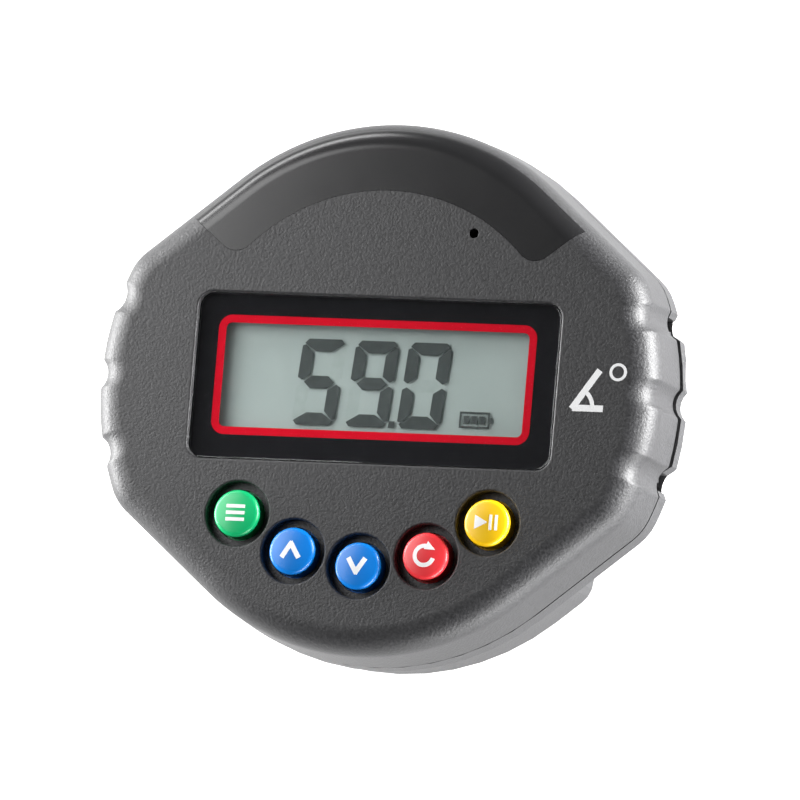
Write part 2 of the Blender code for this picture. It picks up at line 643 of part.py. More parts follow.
def rear_cover(surface):
    """Rear cover: shell, pod, locating lip, drawer slot and rails, magnet cups and bosses."""
    body = solid("rear_cover", [rear_shape()], surface)
    combine(body, "UNION", "rear_pod", [pod_shape()])
    lip_top = PART_Z + LIP_HEIGHT
    combine(body, "UNION", "rear_lip",
            [prism(case_outline(SIDE_WALL + GAP), BAND_Z + TAPER_DEPTH / 2, lip_top)])
    combine(body, "DIFFERENCE", "rear_hollow",
            [prism(case_outline(SIDE_WALL + GAP + LIP_WALL), FLOOR_Z, lip_top + OVERSHOOT)])
    inside_pod = pod_outline(POD_DRAFT + POD_WALL)
    combine(body, "DIFFERENCE", "pod_hollow", [prism(inside_pod, POD_FLOOR_Z, FLOOR_Z + OVERSHOOT)])
    root = POD_FLOOR / 4
    case_places = case_screw_places()
    stands = [prism(circle(CASE_BOSS_R, place), FLOOR_Z - root, REAR_TOP_Z) for place in case_places]
    stands += [prism(circle(MAGNET_R + GAP + MAGNET_CUP_WALL, place, 28), POD_FLOOR_Z - root, CUP_TOP_Z)
               for place in magnet_places()]
    stands += [prism(circle(KEEPER_BOSS_R, place, 12), POD_FLOOR_Z - root, CUP_TOP_Z)
               for place in keeper_screw_places()]
    combine(body, "UNION", "rear_stands", stands)
    inner_end = pod_half_width() - POD_DRAFT - POD_WALL + GAP
    combine(body, "UNION", "rear_ledges",
            [bar_along_x(rail_profile(side, POD_FLOOR_Z - root, True), RAIL_INNER_X, inner_end)
             for side in (-1, 1)])
    slot_x = HALF_WIDTH - SLOT_DEPTH
    combine(body, "UNION", "rear_rails",
            [bar_along_x(rail_profile(side, FLOOR_Z - root, False), inner_end - GAP, slot_x)
             for side in (-1, 1)])
    combine(body, "DIFFERENCE", "rear_slot",
            [box((slot_x, SCOOP_Y - SLOT_HALF_WIDTH, FLOOR_Z),
                 (HALF_WIDTH + OVERSHOOT, SCOOP_Y + SLOT_HALF_WIDTH, lip_top + OVERSHOOT))])
    head_room = SHELF_Z + GAP + CASE_HEAD_HEIGHT + GAP
    holes = [stepped(circle(CASE_HEAD_R + GAP, place), circle(CASE_SCREW_R + GAP, place),
                     SHELF_Z - OVERSHOOT, head_room, REAR_TOP_Z + OVERSHOOT) for place in case_places]
    holes += [prism(circle(MAGNET_R + GAP, place, 28), POD_FLOOR_Z, CUP_TOP_Z + OVERSHOOT)
              for place in magnet_places()]
    holes += [prism(circle(SMALL_SCREW_R + GAP, place, 12), POD_FLOOR_Z, CUP_TOP_Z + OVERSHOOT)
              for place in keeper_screw_places()]
    combine(body, "DIFFERENCE", "rear_holes", holes)
    recess = rounded_rectangle(PAD_WIDTH + 2 * SLIP, PAD_LENGTH + 2 * SLIP, PAD_CORNER_R + SLIP, (0.0, PAD_Y))
    combine(body, "DIFFERENCE", "rear_pad_recess", [prism(recess, POD_Z - OVERSHOOT, PAD_THICK + GAP)])


def back_pad(surface):
    """Grippy pad that lies on the wrench."""
    outline = rounded_rectangle(PAD_WIDTH, PAD_LENGTH, PAD_CORNER_R, (0.0, PAD_Y))
    solid("back_pad", [prism(outline, 0.0, PAD_THICK)], surface)


def magnets(magnet_surface, keeper_surface):
    """Two disc magnets in their cups under a steel keeper."""
    for name, place in zip(("magnet_lower", "magnet_upper"), magnet_places()):
        solid(name, [prism(circle(MAGNET_R, place, 28), MAGNET_Z, MAGNET_Z + MAGNET_THICK)], magnet_surface)
    outline = rounded_rectangle(KEEPER_WIDTH, KEEPER_LENGTH, KEEPER_WIDTH / 6, (0.0, KEEPER_Y))
    keeper = solid("magnet_keeper", [prism(outline, KEEPER_Z, KEEPER_Z + KEEPER_THICK)], keeper_surface)
    holes = [prism(circle(SMALL_SCREW_R + GAP, place, 12), KEEPER_Z - OVERSHOOT, KEEPER_Z + OVERSHOOT * 2)
             for place in keeper_screw_places()]
    combine(keeper, "DIFFERENCE", "keeper_holes", holes)


def screws(surface):
    """Screws of the case, the board and the magnet keeper."""
    seat = SHELF_Z + GAP + CASE_HEAD_HEIGHT
    for number, place in enumerate(case_screw_places(), start=1):
        stack = screw(place, seat, 1, CASE_HEAD_R, CASE_HEAD_HEIGHT, CASE_SCREW_R, CASE_SCREW_LENGTH)
        solid(f"case_screw_{number}", [stack], surface)
    for number, place in enumerate(BOARD_SCREWS_AT, start=1):
        stack = screw(place, UNDER_BOARD_Z, 1, SMALL_HEAD_R, SMALL_HEAD_HEIGHT, SMALL_SCREW_R,
                      BOARD_SCREW_LENGTH)
        solid(f"board_screw_{number}", [stack], surface)
    seat = KEEPER_Z + KEEPER_THICK + GAP
    for number, place in enumerate(keeper_screw_places(), start=1):
        stack = screw(place, seat, -1, SMALL_HEAD_R, SMALL_HEAD_HEIGHT, SMALL_SCREW_R, KEEPER_SCREW_LENGTH)
        solid(f"keeper_screw_{number}", [stack], surface)


# Coin cell drawer

def battery_drawer(surface):
    """Drawer: a face that follows the grip, and a tray with a round pocket for the cell."""
    outside = [level(case_outline(DRAWER_FACE_CHAMFER - DRAWER_FACE_PROUD, 1.0), DRAWER_Z),
               level(case_outline(-DRAWER_FACE_PROUD, 1.0), DRAWER_Z + DRAWER_FACE_CHAMFER),
               level(case_outline(-DRAWER_FACE_PROUD, 1.0), DRAWER_TOP_Z)]
    body = solid("battery_drawer", [outside], surface)
    half, past = DRAWER_FACE_HALF, HALF_WIDTH + OVERSHOOT
    shoulder = (DRAWER_FACE_BACK + HALF_WIDTH) / 2
    face = [(DRAWER_FACE_BACK, -half), (shoulder, -half), (past, -half * 0.8), (past, half * 0.8),
            (shoulder, half), (DRAWER_FACE_BACK, half)]
    face = [(x, y + SCOOP_Y) for x, y in face]
    combine(body, "INTERSECT", "drawer_face_limit", [prism(face, DRAWER_Z - OVERSHOOT, PART_Z)])
    tray = box((DRAWER_INNER_X, SCOOP_Y - DRAWER_HALF_WIDTH, DRAWER_Z),
               (DRAWER_FACE_BACK + GAP, SCOOP_Y + DRAWER_HALF_WIDTH, DRAWER_TOP_Z))
    combine(body, "UNION", "drawer_tray", [tray])
    place = (CELL_X, SCOOP_Y)
    floor = DRAWER_Z + DRAWER_FLOOR
    combine(body, "DIFFERENCE", "drawer_pocket",
            [stepped(circle(DRAWER_WINDOW_R, place, 32), circle(CELL_R + GAP, place, 32),
                     DRAWER_Z - OVERSHOOT, floor, PART_Z)])
    sphere_r = (DIMPLE_R ** 2 + DIMPLE_DEPTH ** 2) / (2 * DIMPLE_DEPTH)
    middle = (DRAWER_Z + DRAWER_TOP_Z) / 2
    surface_x = math.sqrt((HALF_WIDTH + DRAWER_FACE_PROUD) ** 2 - DIMPLE_Y ** 2)
    combine(body, "DIFFERENCE", "drawer_dimple", [dimple_stack(surface_x, middle, sphere_r)])
    move_origin(body, (DRAWER_FACE_BACK, SCOOP_Y, middle))


def dimple_stack(surface_x, middle, sphere_r):
    """Cap of a sphere that cuts the thumb dimple, squeezed to fit the drawer's height."""
    rings = []
    squeeze = (DRAWER_TOP_Z - DRAWER_Z) / (2 * DIMPLE_R) * 0.8
    for depth in (DIMPLE_DEPTH * 0.95, DIMPLE_DEPTH * 0.5, 0.0, -DIMPLE_DEPTH * 2):
        radius = math.sqrt(max(sphere_r ** 2 - (sphere_r - DIMPLE_DEPTH + depth) ** 2, 0.0))
        rings.append([(surface_x - depth, DIMPLE_Y + y, middle + z * squeeze) for y, z in circle(radius)])
    return rings


def coin_cell(surface):
    """Coin cell: a can with a smaller cap on top."""
    step = CELL_TOP_Z - CELL_RIM
    profile = [(CELL_R - CELL_RIM, CELL_Z), (CELL_R, CELL_Z + CELL_RIM), (CELL_R, step - CELL_RIM),
               (CELL_R - CELL_RIM, step), (CELL_R - 5 * CELL_RIM, step), (CELL_R - 6 * CELL_RIM, CELL_TOP_Z)]
    cell = solid("coin_cell", [turned(profile, (CELL_X, SCOOP_Y), 32)], surface)
    move_origin(cell, (CELL_X, SCOOP_Y, CELL_Z))


def battery_contacts(surface):
    """Leaf springs under the board: one over the cell's top, one against its rim."""
    thick, top, half = CONTACT_THICK, UNDER_BOARD_Z, CONTACT_WIDTH / 2
    rim_x = CELL_X - CELL_R - GAP
    leaf_z = CELL_TOP_Z + GAP
    reach = CELL_X - CELL_R / 2
    upper = [(rim_x - CONTACT_WIDTH, top - thick), (rim_x, top - thick), (reach, leaf_z),
             (CELL_X, leaf_z), (CELL_X, leaf_z + thick), (reach, leaf_z + thick), (rim_x, top),
             (rim_x - CONTACT_WIDTH, top)]
    y = SCOOP_Y + CONTACT_OFFSET
    solid("battery_contact_top", [bar_along_y(upper, y - half, y + half)], surface)
    low = CELL_Z + CELL_THICK / 4
    side = [(rim_x - CONTACT_WIDTH, top - thick), (rim_x - thick, top - thick), (rim_x - thick, low),
            (rim_x, low), (rim_x, top), (rim_x - CONTACT_WIDTH, top)]
    solid("battery_contact_side", [bar_along_y(side, SCOOP_Y - half, SCOOP_Y + half)], surface)


def build():
    """Clear the scene and model every piece."""
    for old in list(bpy.data.objects):
        bpy.data.objects.remove(old)
    shell = material("grained_abs", (0.070, 0.070, 0.073), 0.55)
    smoked = material("smoked_lens", (0.045, 0.045, 0.048), 0.12)
    steel = material("plated_steel", (0.62, 0.62, 0.60), 0.3, 1.0)
    silicone = material("black_silicone", (0.02, 0.02, 0.02), 0.6)
    cap_colours = {"green_cap": (0.01, 0.42, 0.10), "blue_cap": (0.0, 0.16, 0.68),
                   "red_cap": (0.66, 0.02, 0.03), "yellow_cap": (0.9, 0.55, 0.0)}
    caps = {name: material(name, colour, 0.2) for name, colour in cap_colours.items()}
    front_cover(shell)
    rear_cover(shell)
    alarm_lens(smoked)
    display_window(material("window_acrylic", (0.03, 0.03, 0.03), 0.05))
    lcd_panel(material("lcd_glass", (0.42, 0.46, 0.44), 0.15))
    lcd_frame(material("white_plastic", (0.75, 0.75, 0.73), 0.45))
    lcd_connectors(material("zebra_rubber", (0.28, 0.28, 0.30), 0.6))
    key_caps([caps["green_cap"], caps["blue_cap"], caps["blue_cap"], caps["red_cap"], caps["yellow_cap"]])
    keypad(silicone)
    main_board(material("board_green", (0.02, 0.16, 0.06), 0.4))
    chip = material("chip_epoxy", (0.02, 0.02, 0.02), 0.45)
    led = material("led_package", (0.80, 0.78, 0.70), 0.35)
    board_parts({"controller_chip": chip, "gyro_sensor": chip, "clock_crystal": steel, "buzzer": chip,
                 "led": led})
    back_pad(material("pad_rubber", (0.03, 0.03, 0.03), 0.85))
    magnets(material("nickel_plate", (0.70, 0.68, 0.64), 0.22, 1.0), steel)
    screws(steel)
    battery_drawer(shell)
    coin_cell(material("cell_steel", (0.66, 0.66, 0.65), 0.28, 1.0))
    battery_contacts(material("spring_bronze", (0.65, 0.48, 0.30), 0.3, 1.0))


build()
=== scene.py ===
"""Looks of the electronic angle gauge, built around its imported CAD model. Lengths are metres."""

import math

import bmesh
import bpy
import numpy as np
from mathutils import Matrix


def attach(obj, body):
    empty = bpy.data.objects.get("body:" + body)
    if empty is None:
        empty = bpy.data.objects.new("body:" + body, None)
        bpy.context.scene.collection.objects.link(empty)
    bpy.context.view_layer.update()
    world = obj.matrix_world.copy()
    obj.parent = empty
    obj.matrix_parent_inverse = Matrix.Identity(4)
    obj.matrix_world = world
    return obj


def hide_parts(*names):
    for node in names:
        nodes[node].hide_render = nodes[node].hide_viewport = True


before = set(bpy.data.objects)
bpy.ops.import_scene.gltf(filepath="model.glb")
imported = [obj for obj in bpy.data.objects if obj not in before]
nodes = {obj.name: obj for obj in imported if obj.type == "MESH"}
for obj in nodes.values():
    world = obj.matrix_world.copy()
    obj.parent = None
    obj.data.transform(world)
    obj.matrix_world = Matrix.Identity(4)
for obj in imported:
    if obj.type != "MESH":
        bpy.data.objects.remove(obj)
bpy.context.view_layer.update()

MM = 0.001

# Heights and outline of the case, as in the CAD source
PART_Z = 12.7 * MM
FACE_Z = 24.0 * MM
WALL_Z = 21.6 * MM
PART_CHAMFER = 0.12 * MM
SIDE_WALL = 2.0 * MM
RIM_R = 4.2 * MM
DRAFT = 0.314 * MM
HALF_WIDTH = 42.7 * MM
GRIP_END = 22.2
CORNER_R = 8.0 * MM
SHOULDER_ANGLE = 50.0
CROWN_R = 37.04 * MM
SCOOP_WIDTH = 4.2 * MM
SCOOP_DEPTH = 1.0 * MM
SCOOP_PITCH = 11.4 * MM
SCOOP_Y = 0.8 * MM

# Display
DISPLAY_Y = 0.9 * MM
WINDOW_SIZE = (55.0 * MM, 24.4 * MM)
WINDOW_CORNER_R = 2.3 * MM
WINDOW_TOP = FACE_Z - 0.25 * MM
WINDOW_THICK = 1.2 * MM
WINDOW_LEDGE = 2.6 * MM
WINDOW_EDGE_R = 0.3 * MM
RED_LINE_CENTRE = (-0.35 * MM, 1.15 * MM)
RED_LINE_SIZE = (48.13 * MM, 17.47 * MM)
RED_LINE_WIDTH = 1.14 * MM
RED_LINE_CORNER_R = 2.0 * MM
LCD_TOP = 21.0 * MM

# Keys, left to right
KEYS = ("menu", "up", "down", "clear", "start")
KEY_ARC_R = 29.2 * MM
KEY_ARC_Y = 3.0 * MM
KEY_PITCH = 20.2
WELL_R = 4.7 * MM
CAP_R = 3.42 * MM
CAP_TOP = 25.04 * MM
CAP_GAP = 0.3 * MM
CAP_EDGE_R = 0.75 * MM
CAP_CROWN = 0.27 * MM
FLANGE_R = 4.37 * MM
WELL_SHELF = FACE_Z - 1.6 * MM
WELL_EDGE_R = 0.35 * MM
SIGN_SCALE = 1.12

# Lens, the slot for the lights under it, and the buzzer hole
LENS_INNER_R = 28.64 * MM
LENS_HALF_ANGLE = 51.0
LENS_CORNER_R = 3.0 * MM
LENS_THICK = 1.3 * MM
LENS_GAP = 0.04 * MM
LENS_SEAT = FACE_Z - LENS_THICK - 0.05 * MM
LED_SLOT_INSET = 1.6 * MM
LED_SLOT_OUTER_R = 34.2 * MM
BUZZER_AT = (13.19 * MM, 22.84 * MM)
BUZZER_HOLE_R = 0.7 * MM

# Edge angle in degrees from which a piece's edge is drawn sharp
SHARP_ANGLE = 40.0


# Materials

def linear(hex_colour):
    """sRGB hex colour as linear RGBA."""
    parts = [int(hex_colour[i:i + 2], 16) / 255 for i in (1, 3, 5)]
    return tuple(c / 12.92 if c <= 0.04045 else ((c + 0.055) / 1.055) ** 2.4 for c in parts) + (1.0,)


def add_node(tree, kind, inputs, **settings):
    """Add a node with its settings; an input is a value or the socket that feeds it."""
    made = tree.nodes.new(kind)
    for name, value in settings.items():
        setattr(made, name, value)
    for socket, value in inputs.items():
        if isinstance(value, bpy.types.NodeSocket):
            tree.links.new(value, made.inputs[socket])
        else:
            made.inputs[socket].default_value = value
    return made


def new_material(name):
    """Material with a bare shader and Object coordinates."""
    made = bpy.data.materials.new(name)
    made.use_nodes = True
    tree = made.node_tree
    shader = tree.nodes["Principled BSDF"]
    place = add_node(tree, "ShaderNodeTexCoord", {}).outputs["Object"]
    return made, tree, shader, place


def surface(name, colours, grain, depth, roughness, metallic=0.0, ior=1.5, coat=0.0, transmission=0.0,
            stretch=(1.0, 1.0, 1.0)):
    """Moulded, painted or rolled surface: two close colours and a bump share one noise of grain size."""
    made, tree, shader, place = new_material(name)
    place = add_node(tree, "ShaderNodeMapping", {"Vector": place, "Scale": stretch}).outputs["Vector"]
    noise = add_node(tree, "ShaderNodeTexNoise", {"Vector": place, "Scale": 1.0 / grain, "Detail": 2.0})
    low, high = (linear(colour) for colour in colours)
    tone = add_node(tree, "ShaderNodeMix", {"Factor": noise.outputs["Fac"], "A": low, "B": high},
                    data_type="RGBA")
    colour_out = tone.outputs["Result"]
    tree.links.new(colour_out, shader.inputs["Base Color"])
    worn = add_node(tree, "ShaderNodeMapRange",
                    {"Value": noise.outputs["Fac"], "To Min": roughness[0], "To Max": roughness[1]})
    tree.links.new(worn.outputs["Result"], shader.inputs["Roughness"])
    bump = add_node(tree, "ShaderNodeBump",
                    {"Height": noise.outputs["Fac"], "Strength": 1.0, "Distance": depth})
    tree.links.new(bump.outputs["Normal"], shader.inputs["Normal"])
    shader.inputs["Metallic"].default_value = metallic
    shader.inputs["IOR"].default_value = ior
    shader.inputs["Coat Weight"].default_value = coat
    shader.inputs["Transmission Weight"].default_value = transmission
    return made


# ABS moulded in a spark-eroded tool: matt, with a fine grain. The real grain of about 0.1 mm is finer than a
# pixel, so it is drawn over three times as coarse, as a soft speckle
ABS = surface("abs_spark_eroded", ("#020203", "#414143"), 0.36 * MM, 0.07 * MM, (0.4, 0.6), ior=1.54)
# The same ABS on the rear half and the drawer, drawn a little lighter as painted light: the lighter tone
# stands in for the brighter light that falls on the rear half's walls
ABS_REAR_PAINTED_LIGHT = surface("abs_rear_painted_light", ("#060607", "#474749"), 0.36 * MM, 0.07 * MM, (0.4, 0.6), ior=1.54)
# Smoke tinted polycarbonate from a fine-blasted tool: dark, with soft satin reflections
SMOKED = surface("polycarbonate_smoked", ("#202021", "#252526"), 6.0 * MM, 0.0, (0.22, 0.25), ior=1.58)
# Cast acrylic, polished: clear, with reflections as sharp as in glass
ACRYLIC = surface("acrylic_polished_window", ("#f4f6f6", "#fafcfc"), 10.0 * MM, 0.0, (0.01, 0.02), ior=1.49,
                  transmission=1.0)
# Inks screen printed on the back of the acrylic: no air lies between, so they hardly shine by themselves
BLACK_INK = surface("ink_black_print", ("#101013", "#151518"), 2.0 * MM, 0.0, (0.6, 0.7), ior=1.1)
RED_INK = surface("ink_red_print", ("#b00219", "#ba0620"), 1.0 * MM, 0.0, (0.6, 0.7), ior=1.1)
# White ink pad printed on the moulding: a thin opaque film, nearly matt
WHITE_INK = surface("ink_white_pad_print", ("#f2f3f4", "#fdfdfd"), 0.15 * MM, 0.004 * MM, (0.4, 0.55))
# Reflective liquid crystal display: a satin metal foil seen through two polarisers, so grey-green and even
LCD_FOIL = surface("lcd_reflective_foil", ("#838f8c", "#909b98"), 9.0 * MM, 0.0, (0.4, 0.46))
# Its segments: dark where the crystal blocks the light, barely darker than the foil where it doesn't
LCD_DARK = surface("lcd_segment_on", ("#3c4141", "#474c4b"), 0.9 * MM, 0.0, (0.5, 0.6), ior=1.1)
LCD_FAINT = surface("lcd_segment_off", ("#7f8b87", "#8c9794"), 0.9 * MM, 0.0, (0.4, 0.46))
# Key caps of ABS moulded in colour in a smooth tool: saturated, with a broad soft highlight
CAP_COLOURS = {"menu": ("#05a864", "#0ab870"), "up": ("#0070c8", "#007cd8"), "down": ("#0070c8", "#007cd8"),
               "clear": ("#dc2c34", "#ea3c42"), "start": ("#f2bc08", "#f8cc14")}
CAPS = {key: surface("abs_cap_" + key, tones, 3.0 * MM, 0.0, (0.3, 0.36), ior=1.54)
        for key, tones in CAP_COLOURS.items()}
# Silicone keypad, moulded: black and soft-looking, almost without gloss
SILICONE = surface("silicone_black", ("#141415", "#1c1c1d"), 0.2 * MM, 0.01 * MM, (0.6, 0.75), ior=1.41)
# Rubber pad, moulded: dull, with the texture of its tool
RUBBER = surface("rubber_moulded_pad", ("#17171a", "#222224"), 0.25 * MM, 0.03 * MM, (0.75, 0.9), ior=1.52)
# Zinc on steel, barrel plated: bright grey, slightly cloudy
ZINC = surface("steel_zinc_plated", ("#a9abad", "#c6c7c9"), 0.4 * MM, 0.004 * MM, (0.24, 0.4), metallic=1.0)
# Nickel on the magnets, barrel plated: warmer and shinier than the zinc
NICKEL = surface("magnet_nickel_plated", ("#b9b6ae", "#cfccc4"), 0.8 * MM, 0.003 * MM, (0.16, 0.3),
                 metallic=1.0)
# Brushed steel of the coin cell: fine lines along one direction
CELL_STEEL = surface("steel_brushed_cell", ("#b2b3b4", "#d0d1d2"), 0.15 * MM, 0.003 * MM, (0.22, 0.42),
                     metallic=1.0, stretch=(0.08, 1.0, 1.0))
# Rolled bronze strip of the contacts: yellow-brown, with faint rolling lines
BRONZE = surface("bronze_rolled_strip", ("#b58a58", "#cfa672"), 0.3 * MM, 0.003 * MM, (0.22, 0.36),
                 metallic=1.0, stretch=(0.1, 1.0, 1.0))
# White polycarbonate of the display's carrier, moulded: clean and half matt
WHITE_PC = surface("polycarbonate_white_frame", ("#d5d6d4", "#e2e2e0"), 0.5 * MM, 0.01 * MM, (0.4, 0.5))
# Zebra connector: silicone layered with carbon, in fine stripes across its length
ZEBRA = surface("silicone_zebra_strip", ("#6f7074", "#a5a6aa"), 0.18 * MM, 0.0, (0.5, 0.7),
                stretch=(1, 0.02, 0.02))
# Solder mask over glass fibre board: green and glossy
MASK = surface("board_solder_mask", ("#0c4a26", "#13602f"), 1.2 * MM, 0.02 * MM, (0.28, 0.42), coat=0.3)
# Moulded epoxy of the chips and the buzzer: black and slightly rough
EPOXY = surface("epoxy_chip_package", ("#161618", "#222224"), 0.12 * MM, 0.008 * MM, (0.5, 0.65))
# Moulded housing of the lights: cream white
LED_BODY = surface("led_package_white", ("#dcd8c6", "#ece8d8"), 0.6 * MM, 0.0, (0.3, 0.4))

NODE_MATERIALS = {
    "rear_cover": ABS_REAR_PAINTED_LIGHT, "battery_drawer": ABS_REAR_PAINTED_LIGHT, "lcd_panel": LCD_FOIL, "lcd_frame": WHITE_PC,
    "lcd_connector_upper": ZEBRA, "lcd_connector_lower": ZEBRA, "keypad_mat": SILICONE,
    "main_board": MASK, "controller_chip": EPOXY, "gyro_sensor": EPOXY, "clock_crystal": ZINC,
    "buzzer": EPOXY, "alarm_led_left": LED_BODY, "alarm_led_middle": LED_BODY,
    "alarm_led_right": LED_BODY, "back_pad": RUBBER, "magnet_lower": NICKEL, "magnet_upper": NICKEL,
    "magnet_keeper": ZINC, "coin_cell": CELL_STEEL, "battery_contact_top": BRONZE,
    "battery_contact_side": BRONZE}
NODE_MATERIALS.update({"key_dome_" + key: SILICONE for key in KEYS})
for screw_name in [name for name in nodes if "_screw_" in name]:
    NODE_MATERIALS[screw_name] = ZINC


def smoothing_nodes(angle):
    """Node group that shades a faceted CAD solid smooth and keeps edges sharper than an angle sharp."""
    made = bpy.data.node_groups.new("smooth_by_angle", "GeometryNodeTree")
    made.interface.new_socket("Geometry", in_out="INPUT", socket_type="NodeSocketGeometry")
    made.interface.new_socket("Geometry", in_out="OUTPUT", socket_type="NodeSocketGeometry")
    start = add_node(made, "NodeGroupInput", {}).outputs["Geometry"]
    bare = add_node(made, "GeometryNodeRemoveAttribute", {"Geometry": start, "Name": "custom_normal"})
    faces = add_node(made, "GeometryNodeSetShadeSmooth",
                     {"Geometry": bare.outputs["Geometry"], "Shade Smooth": True}, domain="FACE")
    corner = add_node(made, "GeometryNodeInputMeshEdgeAngle", {}).outputs["Unsigned Angle"]
    sharp = add_node(made, "FunctionNodeCompare", {0: corner, 1: math.radians(angle)},
                     operation="GREATER_THAN")
    edges = add_node(made, "GeometryNodeSetShadeSmooth",
                     {"Geometry": faces.outputs["Geometry"], "Selection": sharp.outputs["Result"],
                      "Shade Smooth": False}, domain="EDGE")
    add_node(made, "NodeGroupOutput", {"Geometry": edges.outputs["Geometry"]})
    return made


smoothing = smoothing_nodes(26.0)
for node_name, finish in NODE_MATERIALS.items():
    mesh = nodes[node_name].data
    mesh.materials.clear()
    mesh.materials.append(finish)
    nodes[node_name].modifiers.new("smooth_shading", "NODES").node_group = smoothing


# Meshes

def loft(rings, closed_ends=True):
    """Points and faces of a surface through equally sampled rings: each point is joined to the next one on
    its ring and to the same one on the next ring. The ends are capped if wanted."""
    count, size = len(rings), len(rings[0])
    points = np.concatenate(rings)
    row, column = np.meshgrid(np.arange(count - 1), np.arange(size), indexing="ij")
    here, right = row * size + column, row * size + (column + 1) % size
    faces = np.stack((here, right, right + size, here + size), axis=-1).reshape(-1, 4).tolist()
    if closed_ends:
        faces.append(list(range(size))[::-1])
        faces.append(list(range((count - 1) * size, count * size)))
    return points, faces


def hoop(rings):
    """Points and faces of a closed band: a loft whose last ring is joined to its first."""
    total = len(rings) * len(rings[0])
    points, faces = loft(rings + rings[:1], closed_ends=False)
    return points[:total], [[i % total for i in face] for face in faces]


def shade(mesh):
    """Smooth shading between edges that are sharper than SHARP_ANGLE."""
    mesh.shade_smooth()
    mesh.set_sharp_from_angle(angle=math.radians(SHARP_ANGLE))


def piece(name, parts, finish):
    """Object at the origin made of (points, faces) parts, with normals turned outwards."""
    starts = np.cumsum([0] + [len(points) for points, _ in parts]).tolist()
    faces = [[start + i for i in face] for start, (_, own) in zip(starts, parts) for face in own]
    mesh = bpy.data.meshes.new(name)
    mesh.from_pydata(np.concatenate([points for points, _ in parts]).tolist(), [], faces)
    sketch = bmesh.new()
    sketch.from_mesh(mesh)
    bmesh.ops.recalc_face_normals(sketch, faces=sketch.faces)
    sketch.to_mesh(mesh)
    sketch.free()
    shade(mesh)
    mesh.materials.append(finish)
    made = bpy.data.objects.new(name, mesh)
    bpy.context.scene.collection.objects.link(made)
    return made


def carve(target, operation, parts):
    """Apply an exact Boolean with each part in turn and keep the result as the piece's mesh."""
    for part in parts:
        tool = piece("cutter", [part], target.data.materials[0])
        modifier = target.modifiers.new("cut", "BOOLEAN")
        modifier.operation = operation
        modifier.solver = "EXACT"
        modifier.object = tool
        graph = bpy.context.evaluated_depsgraph_get()
        solid = bpy.data.meshes.new_from_object(target.evaluated_get(graph))
        target.modifiers.clear()
        old, target.data = target.data, solid
        solid.name = target.name
        bpy.data.meshes.remove(old)
        bpy.data.objects.remove(tool)


def finish_piece(target, body, replaced=()):
    """Shade a piece, let large flat faces rule their normals, tie it to its body, and hide the CAD nodes it
    replaces.
    """
    shade(target.data)
    weighted = target.modifiers.new("flat_faces_rule", "WEIGHTED_NORMAL")
    weighted.keep_sharp = True
    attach(target, body)
    if replaced:
        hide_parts(*replaced)
    return target


def arc(centre, radius, first, last, count=48):
    """Points on an arc between two directions in degrees: centre plus radius times cosine and sine."""
    turn = np.radians(np.linspace(first, last, count))
    return np.stack((centre[0] + radius * np.cos(turn), centre[1] + radius * np.sin(turn)), axis=-1)


def circle(radius, centre, count=96):
    """Points on a full circle, without the last one, which would lie on the first."""
    return arc(centre, radius, 0, 360, count + 1)[:-1]


def rounded_rectangle(size, radius, centre, count=16):
    """Rectangle with a quarter circle at each corner, as one run of points."""
    corners = []
    for quarter, (side_x, side_y) in enumerate(((1, 1), (-1, 1), (-1, -1), (1, -1))):
        middle = (centre[0] + side_x * (size[0] / 2 - radius), centre[1] + side_y * (size[1] / 2 - radius))
        corners.append(arc(middle, radius, 90 * quarter, 90 * (quarter + 1), count))
    return np.concatenate(corners)


def at_height(outline, height):
    """Ring that lies flat at a height."""
    return np.column_stack((outline, np.full(len(outline), height)))


def stack(outlines_and_heights):
    """Closed solid through flat rings."""
    return loft([at_height(outline, height) for outline, height in outlines_and_heights])


def turned(profile, centre, count=96):
    """Closed solid of revolution from (radius, height) pairs."""
    return stack([(circle(radius, centre, count), height) for radius, height in profile])


def key_centre(index):
    """Place of a key on its arc."""
    turn = math.radians(-90 + KEY_PITCH * (index - 2))
    return (KEY_ARC_R * math.cos(turn), KEY_ARC_Y + KEY_ARC_R * math.sin(turn))


# Case outline: each point is kept as its arc's centre, radius, direction and scoop depth

def scoop_depths(height):
    """Depth of the grip at each height: a scoop is a circular arc sunk into it, averaged over three points so
    that its edges are a little round."""
    scoop_r = (SCOOP_WIDTH ** 2 / 4 + SCOOP_DEPTH ** 2) / (2 * SCOOP_DEPTH)
    depth = np.zeros_like(height)
    for offset in (-1, 0, 1):
        across = height - SCOOP_Y - offset * SCOOP_PITCH
        inside = np.abs(across) < SCOOP_WIDTH / 2
        depth[inside] = np.sqrt(scoop_r ** 2 - across[inside] ** 2) - (scoop_r - SCOOP_DEPTH)
    return np.convolve(depth, np.ones(3) / 3, mode="same")


